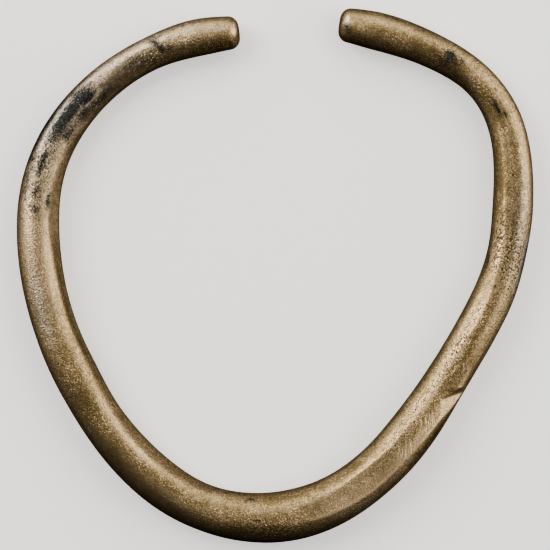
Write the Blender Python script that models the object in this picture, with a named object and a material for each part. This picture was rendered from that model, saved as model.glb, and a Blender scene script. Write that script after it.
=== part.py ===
"""An open bracelet: one solid silver rod, forged with long flats and bent by hand.

The rod is made in the order that a smith would make it. A straight round blank is drawn to its
length, its section is forged with flats, the blank is bent into the open ring, and a small test
cut is made in its outer side. The ring lies flat, +Z up, with its mouth towards +Y, and its origin
is below the middle of its box, on the surface that it lies on. Units are metres.

Places along the rod are in millimetres from the tip on the left (-X) of the mouth, along the
middle of the rod and anticlockwise round the ring. Directions around the rod are in degrees: 0
points out of the ring, 90 up, 180 into the ring and 270 down.
"""
import math
from typing import NamedTuple

import bmesh
import bpy
from mathutils import Vector

MM = 0.001

# --- The blank -----------------------------------------------------------------------------------
SIDES = 30                      # an even number, so that one side faces straight down
RING_SPACING = 1.4              # mm between the rings of the mesh along the rod
CUT_RING_SPACING = 0.5          # mm between them beside the test cut

# --- The bends: run of rod in mm, and the angle in degrees that it turns through ------------------
FIRST_HEADING = 186.5           # the rod leaves its left tip towards -X
BENDS = (
    (3.5, 1.0), (5.5, 12.0), (17.0, 37.5), (11.0, 30.5),      # left arm and shoulder
    (20.0, 29.5), (5.0, 2.5), (14.0, 23.0),                   # left flank
    (25.0, 71.5), (9.0, 17.5),                                # the round at the bottom
    (6.0, 5.5), (10.0, 3.0), (4.0, 4.0),                      # the nearly straight lower right
    (5.0, 10.0), (6.0, 10.5), (6.0, 6.5), (4.0, 8.5),         # right flank
    (4.0, 15.5), (8.0, 34.0),                                 # the tight right shoulder
    (3.0, 4.5), (5.0, 8.5), (8.0, 10.0),                      # right arm
)
BEND_EASE = 4.0                 # mm over which one bend passes into the next
LENGTH = sum(run for run, turn in BENDS)

# --- The section along the rod: (place, value) ----------------------------------------------------
WIDTHS = (                      # mm across the rod, seen from above
    (0.0, 4.0), (5.0, 4.6), (12.0, 4.2), (20.0, 4.45), (30.0, 4.85), (38.0, 5.3),
    (50.0, 5.4), (58.0, 5.65), (64.0, 5.5), (74.0, 5.85), (82.0, 5.8), (93.0, 6.35),
    (104.0, 6.0), (112.0, 5.9), (120.0, 5.3), (131.0, 5.2), (137.0, 4.9), (143.0, 5.05),
    (152.0, 4.6), (160.0, 4.1), (167.0, 4.4), (174.0, 4.75), (LENGTH, 4.1),
)
HEIGHTS = (                     # height of the section as a share of its width
    (0.0, 0.94), (40.0, 0.93), (90.0, 0.88), (120.0, 0.96), (150.0, 0.95), (LENGTH, 0.95),
)
LIFTS = (                       # mm that the underside stands clear of the surface below
    (0.0, 0.7), (14.0, 0.25), (26.0, 0.0), (50.0, 0.0), (64.0, 0.2), (78.0, 0.0),
    (104.0, 0.0), (118.0, 0.2), (130.0, 0.0), (150.0, 0.0), (164.0, 0.25), (LENGTH, 0.6),
)
BEARING_DEPTH = 0.15            # mm that the underside is flattened where the ring bears
TIP_ROUNDING = 1.2              # mm, radius of the worn edge round each end face
TIP_RINGS = 5
TIP_LEAN = 4.0                  # degrees that each end face leans back, so that it shows from above
SEEN_EDGE_ON = 0.1              # cosine from a flat's facing past which the flat cuts nothing off


class Flat(NamedTuple):
    """One long flat, forged or filed along the rod, that fades out at both of its ends."""

    facings: tuple              # (place, degrees round the rod that it faces)
    depths: tuple               # (place, mm below the round section)


LEFT_FLANK = Flat(              # inner side of the left flank, down to the bottom
    facings=((26.0, 150.0), (38.0, 148.0), (46.0, 157.0), (60.0, 155.0), (70.0, 150.0),
             (82.0, 152.0)),
    depths=((26.0, 0.0), (31.0, 0.16), (38.0, 0.32), (46.0, 0.23), (60.0, 0.25), (70.0, 0.32),
            (76.0, 0.20), (82.0, 0.0)),
)
FILED_FLAT = Flat(              # top of the lower right, turning outwards up to the test cut
    facings=((84.0, 92.0), (96.0, 92.0), (100.0, 89.5), (104.0, 87.0), (108.0, 85.0),
             (112.0, 81.0), (116.0, 75.0), (123.0, 66.0)),
    depths=((84.0, 0.0), (92.0, 0.09), (96.0, 0.18), (100.0, 0.25), (104.0, 0.30), (108.0, 0.26),
            (112.0, 0.27), (116.0, 0.33), (119.0, 0.33), (123.0, 0.0)),
)
RIGHT_FLANK = Flat(             # top of the right flank
    facings=((113.0, 89.0), (126.0, 90.0), (134.0, 87.0), (146.0, 92.0), (158.0, 92.0)),
    depths=((113.0, 0.0), (118.0, 0.13), (122.0, 0.11), (129.0, 0.06), (136.0, 0.10),
            (145.0, 0.13), (153.0, 0.11), (158.0, 0.0)),
)
INNER_FACET = Flat(             # narrow facet inside the filed flat's crest
    facings=((106.0, 117.0), (122.0, 116.0), (134.0, 111.0)),
    depths=((106.0, 0.0), (112.0, 0.03), (120.0, 0.03), (129.0, 0.13), (135.0, 0.0)),
)
FLATS = (LEFT_FLANK, FILED_FLAT, RIGHT_FLANK, INNER_FACET)

# --- The test cut: corners of its wedge from the rod's middle, as (along, out, up) in mm ----------
CUT_PLACE = 119.0
CUT_ZONE = 5.0                            # mm of rod on each side of it with closer rings
CUT_INNER_END = (-2.1, 0.48, 2.29)
CUT_OUTER_END = (0.2, 2.5, 0.74)
CUT_GENTLE_WALL = (-3.9, 1.8, 2.03)       # a point on the long wall, towards the left tip
CUT_STEEP_WALL = (0.2, 1.7, 1.93)         # a point on the short wall
CUT_OVERRUN = 0.6                         # share of its length that the cutter runs past each end
CUT_REACH = 2.5                           # size of the cutter against the distance to those points

SILVER = (0.36, 0.28, 0.18, 1.0)
SHARP_ANGLE = 24.0                        # degrees between faces past which an edge stays crisp


class Station(NamedTuple):
    """One place along the bent rod, with what the section needs there, all in mm."""

    place: float
    middle: Vector
    forward: Vector
    outward: Vector
    half_width: float
    half_height: float

    def point(self, forward: float, outward: float, upward: float) -> Vector:
        """Turn a position beside the rod's middle into a point of the ring."""
        return (self.middle + self.forward * forward + self.outward * outward
                + Vector((0.0, 0.0, upward)))


def clear_scene() -> None:
    """Remove everything that the scene already holds."""
    for thing in list(bpy.data.objects):
        bpy.data.objects.remove(thing, do_unlink=True)


def eased(share: float) -> float:
    """Return a share between 0 and 1 with a soft start and a soft stop."""
    share = min(max(share, 0.0), 1.0)
    return share * share * (3.0 - 2.0 * share)


def slope(table: tuple, index: int) -> float:
    """Return the slope of the smooth curve through a (place, value) table at one entry."""
    before = table[max(index - 1, 0)]
    after = table[min(index + 1, len(table) - 1)]
    return (after[1] - before[1]) / (after[0] - before[0])


def along(table: tuple, place: float) -> float:
    """Read the smooth curve through a (place, value) table at a place."""
    place = min(max(place, table[0][0]), table[-1][0])
    index = max(step for step in range(len(table) - 1) if table[step][0] <= place)
    (low, low_value), (high, high_value) = table[index], table[index + 1]
    run = high - low
    rise = high_value - low_value
    share = (place - low) / run
    bow_at_start = slope(table, index) * run - rise
    bow_at_end = rise - slope(table, index + 1) * run
    bow = share * (1.0 - share) * ((1.0 - share) * bow_at_start + share * bow_at_end)
    return low_value + rise * share + bow


def bent_angle(place: float) -> float:
    """Return the angle in degrees that the rod has turned through at a place, with no easing."""
    angle = 0.0
    for run, turn in BENDS:
        angle += turn * min(max(place / run, 0.0), 1.0)
        place -= run
    return angle


def heading(place: float) -> float:
    """Return the direction of the rod at a place, in radians from +X."""
    samples = 9
    total = sum(bent_angle(place + BEND_EASE * (index / (samples - 1) - 0.5))
                for index in range(samples))
    return math.radians(FIRST_HEADING + total / samples)


def survey(places: list[float]) -> list[Station]:
    """Walk along the bent rod and return its station at each place."""
    steps = 4
    plan = Vector((0.0, 0.0, 0.0))
    last = places[0]
    stations = []
    for place in places:
        for step in range(steps):
            way = heading(last + (place - last) * (step + 0.5) / steps)
            plan += Vector((math.cos(way), math.sin(way), 0.0)) * (place - last) / steps
        last = place
        way = heading(place)
        half_width = along(WIDTHS, place) / 2
        half_height = half_width * along(HEIGHTS, place)
        height = half_height - BEARING_DEPTH + along(LIFTS, place)
        stations.append(Station(
            place=place,
            middle=plan + Vector((0.0, 0.0, height)),
            forward=Vector((math.cos(way), math.sin(way), 0.0)),
            outward=Vector((math.sin(way), -math.cos(way), 0.0)),
            half_width=half_width,
            half_height=half_height,
        ))
    return stations


def flat_limit(flat: Flat, station: Station, angle: float) -> float:
    """Return how far from the rod's middle a flat lets the surface reach at an angle, in mm."""
    if not flat.depths[0][0] < station.place < flat.depths[-1][0]:
        return math.inf
    facing = math.radians(along(flat.facings, station.place))
    off = math.cos(math.radians(angle) - facing)
    if off < SEEN_EDGE_ON:
        return math.inf
    support = math.hypot(station.half_width * math.cos(facing), station.half_height * math.sin(facing))
    return (support - along(flat.depths, station.place)) / off


def section_reach(station: Station, angle: float) -> float:
    """Return the distance from the rod's middle to its surface at an angle, in mm."""
    turn = math.radians(angle)
    area = station.half_width * station.half_height
    reach = area / math.hypot(station.half_height * math.cos(turn), station.half_width * math.sin(turn))
    return min([reach] + [flat_limit(flat, station, angle) for flat in FLATS])


def tip_share(to_tip: float, half_width: float) -> float:
    """Return the size of the section beside a worn tip, as a share of its full size."""
    into_rounding = max(TIP_ROUNDING - to_tip, 0.0)
    inset = TIP_ROUNDING - math.sqrt(TIP_ROUNDING ** 2 - into_rounding ** 2)
    return 1.0 - inset / half_width


def ring_places() -> list[float]:
    """Return the places of the mesh's rings, closer together on the worn tips and at the cut."""
    quarter = math.pi / 2
    tip = [TIP_ROUNDING * (1.0 - math.cos(quarter * step / TIP_RINGS)) for step in range(TIP_RINGS)]
    body = []
    place = TIP_ROUNDING
    while place < LENGTH - TIP_ROUNDING:
        body.append(place)
        place += CUT_RING_SPACING if abs(place - CUT_PLACE) < CUT_ZONE else RING_SPACING
    return tip + body + [LENGTH - place for place in reversed(tip)]


def draw_blank(ring_count: int) -> tuple[bmesh.types.BMesh, list[list]]:
    """Draw the straight blank: a circle extruded once for each ring, with both ends closed.

    Args:
        ring_count: number of rings along the rod, with those at both ends.

    Returns:
        The mesh, and its vertices ring by ring.
    """
    blank = bmesh.new()
    rings = [bmesh.ops.create_circle(blank, cap_ends=False, segments=SIDES, radius=1.0)["verts"]]
    first_loop = list(blank.edges)
    loop = first_loop
    for _ in range(ring_count - 1):
        drawn = bmesh.ops.extrude_edge_only(blank, edges=loop)["geom"]
        ring = [item for item in drawn if isinstance(item, bmesh.types.BMVert)]
        loop = [item for item in drawn if isinstance(item, bmesh.types.BMEdge)
                and all(vert in ring for vert in item.verts)]
        bmesh.ops.translate(blank, verts=ring, vec=(0.0, 0.0, 1.0))
        rings.append(ring)
    for end_loop in (first_loop, loop):
        bmesh.ops.contextual_create(blank, geom=end_loop)
    return blank, rings


def forge_and_bend(rings: list[list], stations: list[Station]) -> None:
    """Give each ring of the blank its forged section, and set it on the bent middle line."""
    lean = math.tan(math.radians(TIP_LEAN))
    for ring, station in zip(rings, stations):
        to_tip = min(station.place, LENGTH - station.place)
        share = tip_share(to_tip, station.half_width)
        into_rod = 1.0 if station.place < LENGTH / 2 else -1.0
        lean_here = into_rod * lean * (1.0 - eased(to_tip / (2.0 * station.half_width)))
        for vert in ring:
            angle = math.degrees(math.atan2(vert.co.y, vert.co.x)) + 180.0 / SIDES
            reach = section_reach(station, angle) * share
            outward = reach * math.cos(math.radians(angle))
            upward = reach * math.sin(math.radians(angle))
            point = station.point(lean_here * (upward + station.half_height), outward, upward)
            point.z = max(point.z, 0.0)
            vert.co = point * MM


def make_cutter(station: Station) -> bmesh.types.BMesh:
    """Model the wedge that the test cut takes out: a triangle extruded along the cut's bottom."""
    inner, outer, gentle, steep = (
        station.point(*corner)
        for corner in (CUT_INNER_END, CUT_OUTER_END, CUT_GENTLE_WALL, CUT_STEEP_WALL))
    run = outer - inner
    start = inner - run * CUT_OVERRUN
    corners = [start, start + (gentle - inner) * CUT_REACH, start + (steep - inner) * CUT_REACH]
    wedge = bmesh.new()
    face = wedge.faces.new([wedge.verts.new(corner * MM) for corner in corners])
    drawn = bmesh.ops.extrude_face_region(wedge, geom=[face])["geom"]
    far_end = [item for item in drawn if isinstance(item, bmesh.types.BMVert)]
    bmesh.ops.translate(wedge, verts=far_end, vec=run * (1.0 + 2.0 * CUT_OVERRUN) * MM)
    return wedge


def add_object(name: str, shape: bmesh.types.BMesh) -> bpy.types.Object:
    """Put a finished shape in the scene under a name, with its faces pointing out."""
    bmesh.ops.recalc_face_normals(shape, faces=shape.faces)
    mesh = bpy.data.meshes.new(name)
    shape.to_mesh(mesh)
    shape.free()
    thing = bpy.data.objects.new(name, mesh)
    bpy.context.scene.collection.objects.link(thing)
    return thing


def tarnished_silver() -> bpy.types.Material:
    """Return the bracelet's material: silver under a thin warm brown tarnish."""
    material = bpy.data.materials.new("tarnished_silver")
    material.use_nodes = True
    shader = material.node_tree.nodes["Principled BSDF"]
    shader.inputs["Base Color"].default_value = SILVER
    shader.inputs["Metallic"].default_value = 1.0
    shader.inputs["Roughness"].default_value = 0.45
    material.diffuse_color = SILVER
    return material


def build() -> None:
    """Make the bracelet: draw, forge, bend and cut it."""
    clear_scene()
    stations = survey(ring_places())
    blank, rings = draw_blank(len(stations))
    forge_and_bend(rings, stations)
    cut_station = min(stations, key=lambda station: abs(station.place - CUT_PLACE))
    cutter = make_cutter(cut_station)

    xs = [vert.co.x for vert in blank.verts]
    ys = [vert.co.y for vert in blank.verts]
    to_origin = Vector((-(min(xs) + max(xs)) / 2, -(min(ys) + max(ys)) / 2, 0.0))
    for shape in (blank, cutter):
        bmesh.ops.translate(shape, verts=shape.verts, vec=to_origin)

    bracelet = add_object("bracelet", blank)
    bracelet.data.materials.append(tarnished_silver())
    bracelet.data.shade_smooth()
    bracelet.data.set_sharp_from_angle(angle=math.radians(SHARP_ANGLE))

    wedge = add_object("test_cut", cutter)
    wedge.hide_render = True
    wedge.display_type = "WIRE"
    cut = bracelet.modifiers.new("test_cut", "BOOLEAN")
    cut.operation = "DIFFERENCE"
    cut.solver = "EXACT"
    cut.object = wedge


build()
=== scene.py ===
"""The looks of an open silver bracelet: one forged rod, bent by hand, worn, pitted and tarnished.

The rod is made again here as the frame has it, from the same bends, widths and flats, but with a
finer skin: hammer waves, worn tips and the wedge of an old test cut are in its mesh. Grain, pits,
file marks, rubbed crests, tarnish and black sulphide are in its material, which reads from layers
of the mesh where each of them lies. Painted highlights, painted shade and painted glints are in
its colour as well. Places along the rod are in millimetres from the left tip, anticlockwise round
the ring. Directions around the rod are in degrees: 0 points out of the ring, 90 up, 180 into the
ring and 270 down.
"""

import logging
import math
from dataclasses import dataclass
from enum import Enum
from typing import ClassVar, NamedTuple

import bmesh
import bpy
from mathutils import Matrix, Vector, noise


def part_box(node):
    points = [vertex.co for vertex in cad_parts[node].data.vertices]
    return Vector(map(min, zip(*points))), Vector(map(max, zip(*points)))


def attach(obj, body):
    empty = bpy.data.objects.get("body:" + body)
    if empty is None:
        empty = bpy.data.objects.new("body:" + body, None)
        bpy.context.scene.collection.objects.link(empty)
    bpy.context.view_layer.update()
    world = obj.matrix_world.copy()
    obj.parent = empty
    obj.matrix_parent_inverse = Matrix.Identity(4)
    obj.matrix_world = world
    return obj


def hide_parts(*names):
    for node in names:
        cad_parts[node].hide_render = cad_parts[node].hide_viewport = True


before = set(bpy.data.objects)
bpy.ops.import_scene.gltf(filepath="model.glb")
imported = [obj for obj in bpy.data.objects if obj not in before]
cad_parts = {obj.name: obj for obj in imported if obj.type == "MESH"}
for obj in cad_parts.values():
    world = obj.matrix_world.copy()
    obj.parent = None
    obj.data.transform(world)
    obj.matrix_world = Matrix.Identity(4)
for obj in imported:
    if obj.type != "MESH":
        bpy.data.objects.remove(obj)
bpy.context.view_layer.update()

Socket = bpy.types.NodeSocket

LOG = logging.getLogger("bracelet")
MM = 0.001
MEAN_RADIUS = 2.6               # mm, turns an angle around the rod into a distance
SEEN_EDGE_ON = 0.1              # cosine under which a flat no longer limits the skin


def eased(share: float) -> float:
    """Return a share between 0 and 1 with a soft start and a soft stop."""
    share = min(max(share, 0.0), 1.0)
    return share * share * (3.0 - 2.0 * share)


def linear(hex_colour: str) -> tuple[float, float, float, float]:
    """Turn an sRGB colour such as "c8b49a" into linear red, green, blue and alpha.

    Args:
        hex_colour: six hexadecimal digits.

    Returns:
        The linear colour with an alpha of 1.
    """
    shares = [int(hex_colour[start:start + 2], 16) / 255 for start in (0, 2, 4)]
    return (*(share / 12.92 if share <= 0.04045 else ((share + 0.055) / 1.055) ** 2.4
              for share in shares), 1.0)


def add_node(tree: bpy.types.NodeTree, kind: str, inputs: dict | None = None,
             **settings: object) -> bpy.types.Node:
    """Add a node to a tree with its settings, its values and the links into it.

    Args:
        tree: the node tree that gets the node.
        kind: the node's type, without its "ShaderNode" prefix.
        inputs: for each input, by name or index, a value or the output that feeds it.
        settings: the node's own properties.

    Returns:
        The new node.
    """
    node = tree.nodes.new("ShaderNode" + kind)
    for name, value in settings.items():
        setattr(node, name, value)
    for key, value in (inputs or {}).items():
        if isinstance(value, Socket):
            tree.links.new(value, node.inputs[key])
        else:
            node.inputs[key].default_value = value
    return node


@dataclass(frozen=True)
class Profile:
    """A smooth curve through (place, value) knots along the rod."""

    knots: tuple[tuple[float, float], ...]

    def slope(self, index: int) -> float:
        """Find the slope of the curve at one knot.

        Args:
            index: the number of the knot.

        Returns:
            The rise for each mm, from the knot before it to the knot after it.
        """
        before = self.knots[max(index - 1, 0)]
        after = self.knots[min(index + 1, len(self.knots) - 1)]
        return (after[1] - before[1]) / (after[0] - before[0])

    def at(self, place: float) -> float:
        """Read the curve.

        Args:
            place: mm along the rod.

        Returns:
            The value there, or the end's value past either end.
        """
        place = min(max(place, self.knots[0][0]), self.knots[-1][0])
        index = max(step for step in range(len(self.knots) - 1) if self.knots[step][0] <= place)
        (low, low_value), (high, high_value) = self.knots[index], self.knots[index + 1]
        run = high - low
        rise = high_value - low_value
        share = (place - low) / run
        # The bow turns the straight line between two knots into a cubic with their slopes.
        bow = share * (1.0 - share) * ((1.0 - share) * (self.slope(index) * run - rise)
                                       + share * (rise - self.slope(index + 1) * run))
        return low_value + rise * share + bow


class Station(NamedTuple):
    """One place along the bent rod, with what the section needs there, all in mm."""

    place: float
    middle: Vector
    forward: Vector
    outward: Vector
    half_width: float
    half_height: float

    def point(self, forward: float, outward: float, upward: float) -> Vector:
        """Turn a position beside the rod's middle into a point of the ring."""
        return (self.middle + self.forward * forward + self.outward * outward
                + Vector((0.0, 0.0, upward)))


class SkinPoint(NamedTuple):
    """A point of the rod's skin before it is bent."""

    place: float                # mm along the rod
    angle: float                # degrees around it, from -90 to 270
    rod: Vector                 # mm along, out and up: the straight rod's own space


class Forged(NamedTuple):
    """What forging leaves at one point of the section."""

    reach: float                # mm from the rod's middle
    crest: float                # how bright it is rubbed, up to 1 on the edge of a flat


@dataclass(frozen=True)
class BentLine:
    """The rod's middle line in plan: runs of rod in mm, each with the degrees that it turns."""

    first_heading: float        # degrees from +X at the left tip
    bends: tuple[tuple[float, float], ...]
    ease: float                 # mm over which one bend passes into the next
    samples: int = 9            # headings whose mean eases the line

    @property
    def length(self) -> float:
        """Return the rod's length in mm."""
        return sum(run for run, turn in self.bends)

    def turned(self, place: float) -> float:
        """Add up the turns before a place, with no easing.

        Args:
            place: mm along the rod.

        Returns:
            The degrees turned through.
        """
        angle = 0.0
        for run, turn in self.bends:
            angle += turn * min(max(place / run, 0.0), 1.0)
            place -= run
        return angle

    def heading(self, place: float) -> float:
        """Find which way the rod runs.

        Args:
            place: mm along the rod.

        Returns:
            Its direction in radians from +X.
        """
        total = sum(self.turned(place + self.ease * (index / (self.samples - 1) - 0.5))
                    for index in range(self.samples))
        return math.radians(self.first_heading + total / self.samples)


@dataclass(frozen=True)
class Flat:
    """One long flat, forged or filed along the rod, that fades out at both of its ends."""

    facing: Profile             # degrees around the rod
    depth: Profile              # mm below the round section
    softness: Profile           # mm of depth over which its edges are rounded
    crest: float = 0.0          # how bright its edges are rubbed
    rub_reach: float = 0.11     # mm of depth beside its edges that is rubbed bright
    waver: float = 0.035        # mm that the depth wanders, as handwork does
    waver_length: float = 5.0   # mm of rod for one wander

    @property
    def start(self) -> float:
        """Return the place where the flat begins."""
        return self.depth.knots[0][0]

    @property
    def end(self) -> float:
        """Return the place where the flat ends."""
        return self.depth.knots[-1][0]

    def strength(self, place: float) -> float:
        """Return the share of its greatest depth that the flat has at a place."""
        return max(self.depth.at(place), 0.0) / max(depth for knot, depth in self.depth.knots)

    def limit(self, station: Station, angle: float) -> float:
        """Return how far from the rod's middle the flat lets the skin reach, in mm.

        Args:
            station: the place along the rod.
            angle: the direction around it, in radians.

        Returns:
            The distance to the flat, or infinity where it faces away or isn't there.
        """
        if not self.start < station.place < self.end:
            return math.inf
        facing = math.radians(self.facing.at(station.place))
        off = math.cos(angle - facing)
        if off < SEEN_EDGE_ON:
            return math.inf
        support = math.hypot(station.half_width * math.cos(facing),
                             station.half_height * math.sin(facing))
        wander = self.waver * noise.noise((station.place / self.waver_length, self.start, 0.0))
        depth = self.depth.at(station.place) + wander * self.strength(station.place)
        return (support - depth) / off


@dataclass(frozen=True)
class TestCut:
    """The wedge of an old test cut: corners from the rod's middle, as (along, out, up) in mm."""

    place: float = 119.0
    inner_end: tuple[float, float, float] = (-2.1, 0.48, 2.29)
    outer_end: tuple[float, float, float] = (0.2, 2.5, 0.74)
    gentle_wall: tuple[float, float, float] = (-3.9, 1.8, 2.03)
    steep_wall: tuple[float, float, float] = (0.2, 1.7, 1.93)
    zone: float = 5.0           # mm of rod on each side that the cut can touch
    brightness: float = 0.35    # how bright its walls are rubbed

    def walls(self) -> tuple[Vector, Vector]:
        """Find which way the wedge's two walls face.

        Returns:
            Their normals, each pointing into the metal that was cut away.
        """
        bottom = Vector(self.inner_end)
        run = Vector(self.outer_end) - bottom
        gentle, steep = Vector(self.gentle_wall) - bottom, Vector(self.steep_wall) - bottom
        normals = (run.cross(gentle), run.cross(steep))
        return tuple(normal if normal.dot(other) > 0.0 else -normal
                     for normal, other in zip(normals, (steep, gentle)))

    def limit(self, place: float, angle: float, reach: float) -> float:
        """Cut the skin back to the wedge where it stands inside it.

        Args:
            place: mm along the rod.
            angle: the direction around it, in radians.
            reach: the skin's distance from the rod's middle in mm.

        Returns:
            The distance that is left.
        """
        if abs(place - self.place) > self.zone:
            return reach
        bottom = Vector(self.inner_end)
        start = Vector((place - self.place, 0.0, 0.0)) - bottom
        skin = start + Vector((0.0, math.cos(angle), math.sin(angle))) * reach
        left = 0.0
        for normal in self.walls():
            inside, outside = normal.dot(start), normal.dot(skin)
            if outside <= 0.0:
                return reach
            if inside < 0.0:
                left = max(left, reach * inside / (inside - outside))
        return left


@dataclass(frozen=True)
class HammerWork:
    """Soft hollows and swells that hammering and handling leave along the rod."""

    waves: tuple[tuple[float, float], ...] = (      # (size, height) in mm
        (7.0, 0.045), (2.6, 0.016), (1.1, 0.008), (0.55, 0.004))
    stretch: float = 1.8        # the marks are longer along the rod than around it
    apart: float = 17.0         # keeps the noise of one wave clear of the next wave's

    def height(self, point: SkinPoint) -> float:
        """Add up the waves at a point.

        Args:
            point: the point of the skin.

        Returns:
            Their height in mm.
        """
        total = 0.0
        for index, (size, height) in enumerate(self.waves):
            spot = Vector((point.rod.x / self.stretch, point.rod.y, point.rod.z)) / size
            total += height * noise.noise(spot + Vector((self.apart * index, 0.0, 0.0)))
        return total


@dataclass(frozen=True)
class Spot:
    """An oval on the skin, where something shows more or less than elsewhere."""

    place: float                # mm along the rod
    angle: float                # degrees around it
    length: float               # mm
    width: float                # mm
    amount: float               # its strength in its middle
    turn: float = 0.0           # degrees that its long way turns outwards from the rod

    def closeness(self, point: SkinPoint) -> float:
        """Measure how near a point is to the spot's middle.

        Args:
            point: the point of the skin.

        Returns:
            1 in the middle, 0 on the edge and less outside.
        """
        turn = math.radians(self.turn)
        run = point.place - self.place
        side = math.radians(self.angle - point.angle) * MEAN_RADIUS
        ahead = (run * math.cos(turn) + side * math.sin(turn)) / (self.length / 2)
        beside = (side * math.cos(turn) - run * math.sin(turn)) / (self.width / 2)
        return 1.0 - math.hypot(ahead, beside)


class Spots:
    """Many spots of one kind, found quickly by their place along the rod."""

    def __init__(self, spots: list[Spot], margin: float = 0.0) -> None:
        """Sort the spots into slots of one mm of rod.

        Args:
            spots: the spots.
            margin: mm past their edges where they still count.
        """
        self.slots: dict[int, list[Spot]] = {}
        for spot in spots:
            reach = max(spot.length, spot.width) / 2 + margin
            for slot in range(math.floor(spot.place - reach), math.floor(spot.place + reach) + 1):
                self.slots.setdefault(slot, []).append(spot)

    def near(self, point: SkinPoint) -> list[Spot]:
        """Return the spots that may reach a point."""
        return self.slots.get(math.floor(point.place), [])

    def peak(self, point: SkinPoint) -> float:
        """Return the strongest spot's amount at a point, each fading towards its edge."""
        return max((spot.amount * eased(spot.closeness(point)) for spot in self.near(point)),
                   default=0.0)

    def sum(self, point: SkinPoint) -> float:
        """Return the amounts of all the spots at a point, each fading towards its edge."""
        return sum(spot.amount * eased(spot.closeness(point)) for spot in self.near(point))

    def cone(self, point: SkinPoint) -> float:
        """Return the strongest spot's amount, less 1 for each half-width from its middle."""
        return max((spot.closeness(point) + spot.amount - 1.0 for spot in self.near(point)),
                   default=-1.0)


class Pattern(Enum):
    """The noises that the finish is drawn with: (size in mm, detail, roughness).

    Real crystals and specks are finer than these, which are as coarse as they need to be to show.
    """

    CLOUDS = (3.5, 3.0, 0.6)    # thicker and thinner film
    MOTTLE = (0.6, 3.0, 0.6)    # uneven wear inside a cloud
    GRAIN = (0.17, 1.0, 0.5)    # etched crystals
    GLINTS = (0.2, 1.0, 0.5)    # the largest crystals, raised as bumps, their glints painted into the colour
    SPECKS = (0.25, 2.0, 0.5)   # ragged crust
    RAGS = (0.8, 4.0, 0.7)      # what breaks up the edge of a stain


class Ramp(NamedTuple):
    """The stretch of a pattern's value over which its effect comes in."""

    low: float
    high: float


class Canvas(NamedTuple):
    """The node tree that a finish is drawn in, and what it is drawn from."""

    tree: bpy.types.NodeTree
    rod: Socket                 # mm along, out and up on the straight rod
    marks: dict[str, Socket]    # the strength of each of the skin's layers
    noises: dict[Pattern, Socket]


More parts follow.
